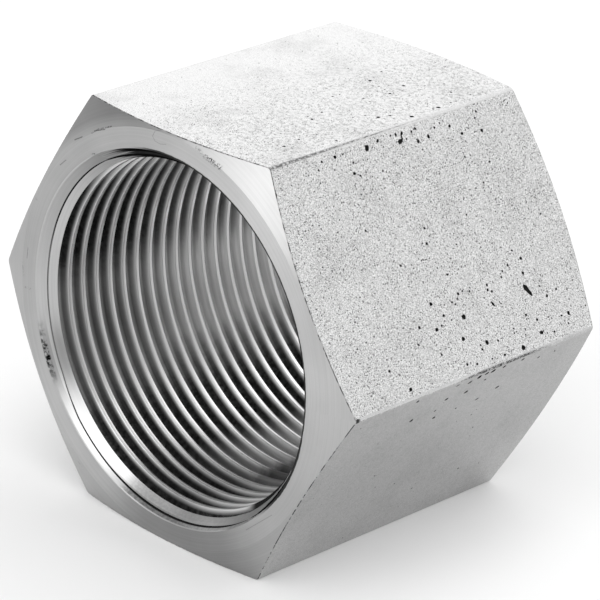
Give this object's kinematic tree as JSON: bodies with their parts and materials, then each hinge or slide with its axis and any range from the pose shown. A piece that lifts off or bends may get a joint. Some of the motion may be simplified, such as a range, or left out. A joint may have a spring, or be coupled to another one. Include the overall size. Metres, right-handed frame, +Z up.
{
  "type": "threaded pipe coupling",
  "caption": "Hexagonal steel pipe coupling with an internal parallel pipe thread right through and a countersunk mouth at each end.",
  "frame": {"origin": "on the bore's axis, half way along the body", "axes": "+Z up, square to the flat that it lies on; the bore's axis runs along Y, the front mouth facing -Y; +X to the right"},
  "size_m": [0.0634, 0.045, 0.055],
  "materials": {
    "steel": "bright machined steel, the flats finely pitted"
  },
  "bodies": {
    "root": {"coupling_body": "steel"}
  },
  "joints": []
}
